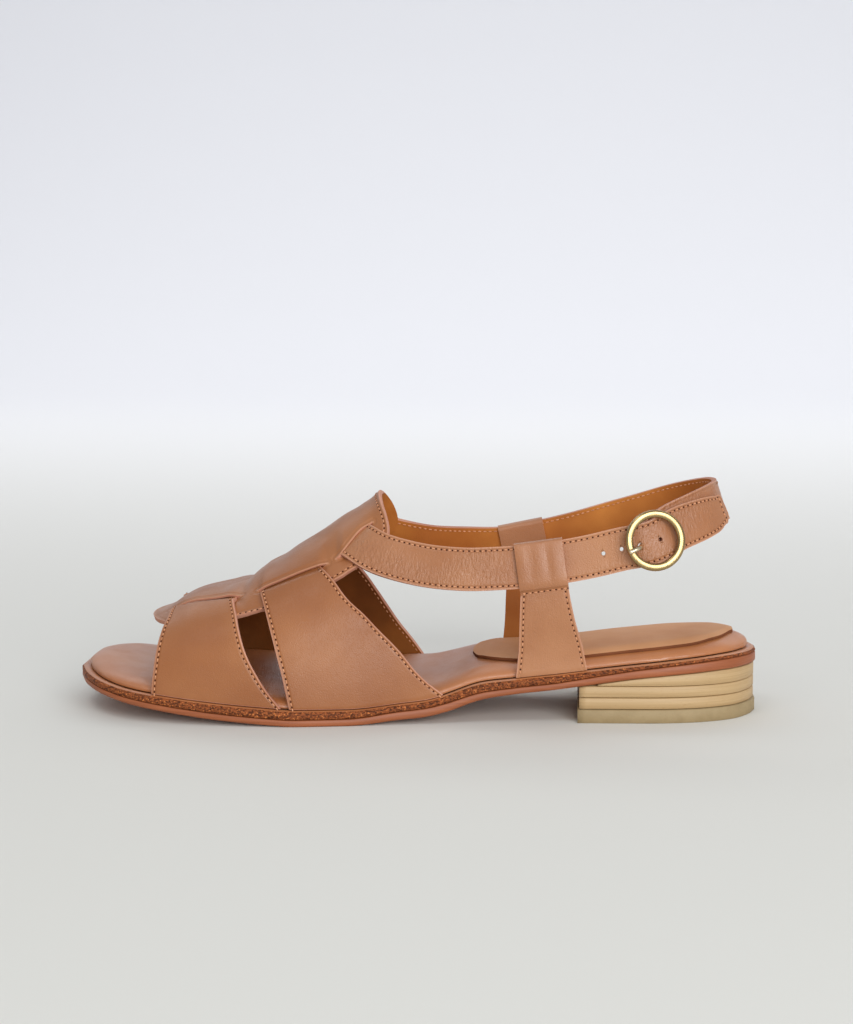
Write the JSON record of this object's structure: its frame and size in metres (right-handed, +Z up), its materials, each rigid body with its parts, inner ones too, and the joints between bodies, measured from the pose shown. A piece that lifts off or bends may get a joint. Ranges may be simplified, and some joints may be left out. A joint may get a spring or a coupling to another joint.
{
  "type": "sandal",
  "caption": "Left leather fisherman sandal: woven saddle and bands over an open foot, buckled ankle strap held by side tabs, low stacked heel.",
  "frame": {"origin": "on the floor under the middle of the shoe's length and width", "axes": "+Z up, -X towards the toe, +X towards the heel, -Y towards the buckle side (the outside of a left foot)"},
  "size_m": [0.2556, 0.091, 0.087],
  "materials": {
    "leather": "satin, fine grain",
    "footbed_leather": "satin, padded",
    "fibre": "matt, cut fibrous edge",
    "sole_leather": "matt, cut edge",
    "stacked_wood": "satin, fine lines along the layers",
    "rubber": "matt",
    "brass": "polished"
  },
  "bodies": {
    "root": {"outsole": "sole_leather", "welt": "fibre", "footbed": "footbed_leather", "heel_sock": "footbed_leather", "heel_top_piece": "rubber", "heel_lift_1": "stacked_wood", "heel_lift_2": "stacked_wood", "heel_lift_3": "stacked_wood", "upper": "leather", "ankle_strap": "leather", "tab_lateral": "leather", "tab_medial": "leather", "buckle_ring": "brass", "buckle_prong": "brass"}
  },
  "joints": []
}
